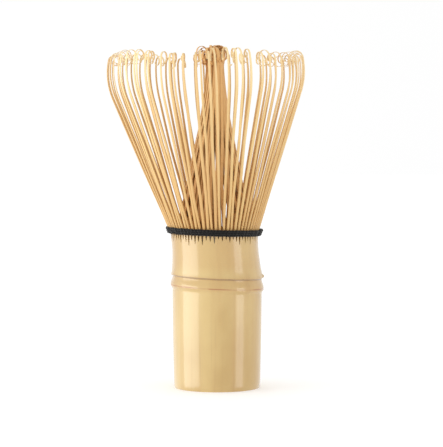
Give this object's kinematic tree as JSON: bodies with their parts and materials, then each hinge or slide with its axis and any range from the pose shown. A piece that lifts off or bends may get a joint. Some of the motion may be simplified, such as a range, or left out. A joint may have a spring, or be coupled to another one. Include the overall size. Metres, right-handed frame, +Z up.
{
  "type": "bamboo tea whisk",
  "caption": "Tea whisk split from one bamboo culm: hollow grip below a node, a flared ring of thin curled tines, a gathered tuft inside it and black thread bound round their roots.",
  "frame": {"origin": "centre of the handle's bore at the cut end that the whisk stands on", "axes": "+Z up along the handle to the tips; +X to the right and +Y away from the viewer in the front view"},
  "size_m": [0.0587, 0.0588, 0.1022],
  "materials": {
    "bamboo_skin": "smooth natural bamboo skin with a soft sheen",
    "bamboo_tine": "split and shaved bamboo, satin, paler towards the tips",
    "bamboo_tine_inner": "split inner bamboo, matt, fibrous",
    "black_thread": "matt black twisted cotton thread"
  },
  "bodies": {
    "handle": {"culm_handle": "bamboo_skin", "thread_round_lower": "black_thread", "thread_round_middle": "black_thread", "thread_round_upper": "black_thread", "thread_weave": "black_thread", "thread_knot": "black_thread"},
    "outer_sector_01": {"outer_tines_01": "bamboo_tine"},
    "outer_sector_02": {"outer_tines_02": "bamboo_tine"},
    "outer_sector_03": {"outer_tines_03": "bamboo_tine"},
    "outer_sector_04": {"outer_tines_04": "bamboo_tine"},
    "outer_sector_05": {"outer_tines_05": "bamboo_tine"},
    "outer_sector_06": {"outer_tines_06": "bamboo_tine"},
    "outer_sector_07": {"outer_tines_07": "bamboo_tine"},
    "outer_sector_08": {"outer_tines_08": "bamboo_tine"},
    "outer_sector_09": {"outer_tines_09": "bamboo_tine"},
    "outer_sector_10": {"outer_tines_10": "bamboo_tine"},
    "outer_sector_11": {"outer_tines_11": "bamboo_tine"},
    "outer_sector_12": {"outer_tines_12": "bamboo_tine"},
    "outer_sector_13": {"outer_tines_13": "bamboo_tine"},
    "outer_sector_14": {"outer_tines_14": "bamboo_tine"},
    "outer_sector_15": {"outer_tines_15": "bamboo_tine"},
    "outer_sector_16": {"outer_tines_16": "bamboo_tine"},
    "outer_sector_17": {"outer_tines_17": "bamboo_tine"},
    "outer_sector_18": {"outer_tines_18": "bamboo_tine"},
    "inner_tuft": {"inner_tines_01": "bamboo_tine_inner", "inner_tines_02": "bamboo_tine_inner", "inner_tines_03": "bamboo_tine_inner", "inner_tines_04": "bamboo_tine_inner", "inner_tines_05": "bamboo_tine_inner", "inner_tines_06": "bamboo_tine_inner", "inner_tines_07": "bamboo_tine_inner", "inner_tines_08": "bamboo_tine_inner", "inner_tines_09": "bamboo_tine_inner", "inner_tines_10": "bamboo_tine_inner", "inner_tines_11": "bamboo_tine_inner", "inner_tines_12": "bamboo_tine_inner", "inner_tines_13": "bamboo_tine_inner", "inner_tines_14": "bamboo_tine_inner", "inner_tines_15": "bamboo_tine_inner", "inner_tines_16": "bamboo_tine_inner", "inner_tines_17": "bamboo_tine_inner", "inner_tines_18": "bamboo_tine_inner"}
  },
  "joints": [
    {"name": "outer_flex_01", "type": "hinge", "parent": "handle", "child": "outer_sector_01", "pos_m": [0.01182, 0.00223, 0.0472], "axis": [-0.1736, 0.9848, 0], "range_deg": [-5, 10], "stiffness_Nm_per_rad": 0.008},
    {"name": "outer_flex_02", "type": "hinge", "parent": "handle", "child": "outer_sector_02", "pos_m": [0.0103, 0.00643, 0.0472], "axis": [-0.5, 0.866, 0], "range_deg": [-5, 10], "stiffness_Nm_per_rad": 0.008},
    {"name": "outer_flex_03", "type": "hinge", "parent": "handle", "child": "outer_sector_03", "pos_m": [0.00743, 0.00984, 0.0472], "axis": [-0.766, 0.6428, 0], "range_deg": [-5, 10], "stiffness_Nm_per_rad": 0.008},
    {"name": "outer_flex_04", "type": "hinge", "parent": "handle", "child": "outer_sector_04", "pos_m": [0.00357, 0.01208, 0.0472], "axis": [-0.9397, 0.342, 0], "range_deg": [-5, 10], "stiffness_Nm_per_rad": 0.008},
    {"name": "outer_flex_05", "type": "hinge", "parent": "handle", "child": "outer_sector_05", "pos_m": [-0.00083, 0.01285, 0.0472], "axis": [-1, 0, 0], "range_deg": [-5, 10], "stiffness_Nm_per_rad": 0.008},
    {"name": "outer_flex_06", "type": "hinge", "parent": "handle", "child": "outer_sector_06", "pos_m": [-0.00522, 0.01208, 0.0472], "axis": [-0.9397, -0.342, 0], "range_deg": [-5, 10], "stiffness_Nm_per_rad": 0.008},
    {"name": "outer_flex_07", "type": "hinge", "parent": "handle", "child": "outer_sector_07", "pos_m": [-0.00909, 0.00984, 0.0472], "axis": [-0.766, -0.6428, 0], "range_deg": [-5, 10], "stiffness_Nm_per_rad": 0.008},
    {"name": "outer_flex_08", "type": "hinge", "parent": "handle", "child": "outer_sector_08", "pos_m": [-0.01196, 0.00643, 0.0472], "axis": [-0.5, -0.866, 0], "range_deg": [-5, 10], "stiffness_Nm_per_rad": 0.008},
    {"name": "outer_flex_09", "type": "hinge", "parent": "handle", "child": "outer_sector_09", "pos_m": [-0.01348, 0.00223, 0.0472], "axis": [-0.1736, -0.9848, 0], "range_deg": [-5, 10], "stiffness_Nm_per_rad": 0.008},
    {"name": "outer_flex_10", "type": "hinge", "parent": "handle", "child": "outer_sector_10", "pos_m": [-0.01348, -0.00223, 0.0472], "axis": [0.1736, -0.9848, 0], "range_deg": [-5, 10], "stiffness_Nm_per_rad": 0.008},
    {"name": "outer_flex_11", "type": "hinge", "parent": "handle", "child": "outer_sector_11", "pos_m": [-0.01196, -0.00643, 0.0472], "axis": [0.5, -0.866, 0], "range_deg": [-5, 10], "stiffness_Nm_per_rad": 0.008},
    {"name": "outer_flex_12", "type": "hinge", "parent": "handle", "child": "outer_sector_12", "pos_m": [-0.00909, -0.00984, 0.0472], "axis": [0.766, -0.6428, 0], "range_deg": [-5, 10], "stiffness_Nm_per_rad": 0.008},
    {"name": "outer_flex_13", "type": "hinge", "parent": "handle", "child": "outer_sector_13", "pos_m": [-0.00522, -0.01208, 0.0472], "axis": [0.9397, -0.342, 0], "range_deg": [-5, 10], "stiffness_Nm_per_rad": 0.008},
    {"name": "outer_flex_14", "type": "hinge", "parent": "handle", "child": "outer_sector_14", "pos_m": [-0.00083, -0.01285, 0.0472], "axis": [1, 0, 0], "range_deg": [-5, 10], "stiffness_Nm_per_rad": 0.008},
    {"name": "outer_flex_15", "type": "hinge", "parent": "handle", "child": "outer_sector_15", "pos_m": [0.00357, -0.01208, 0.0472], "axis": [0.9397, 0.342, 0], "range_deg": [-5, 10], "stiffness_Nm_per_rad": 0.008},
    {"name": "outer_flex_16", "type": "hinge", "parent": "handle", "child": "outer_sector_16", "pos_m": [0.00743, -0.00984, 0.0472], "axis": [0.766, 0.6428, 0], "range_deg": [-5, 10], "stiffness_Nm_per_rad": 0.008},
    {"name": "outer_flex_17", "type": "hinge", "parent": "handle", "child": "outer_sector_17", "pos_m": [0.0103, -0.00643, 0.0472], "axis": [0.5, 0.866, 0], "range_deg": [-5, 10], "stiffness_Nm_per_rad": 0.008},
    {"name": "outer_flex_18", "type": "hinge", "parent": "handle", "child": "outer_sector_18", "pos_m": [0.01182, -0.00223, 0.0472], "axis": [0.1736, 0.9848, 0], "range_deg": [-5, 10], "stiffness_Nm_per_rad": 0.008},
    {"name": "tuft_sway", "type": "hinge", "parent": "handle", "child": "inner_tuft", "pos_m": [-0.00083, 0, 0.047], "axis": [0, 1, 0], "range_deg": [-4, 4], "stiffness_Nm_per_rad": 0.05}
  ]
}
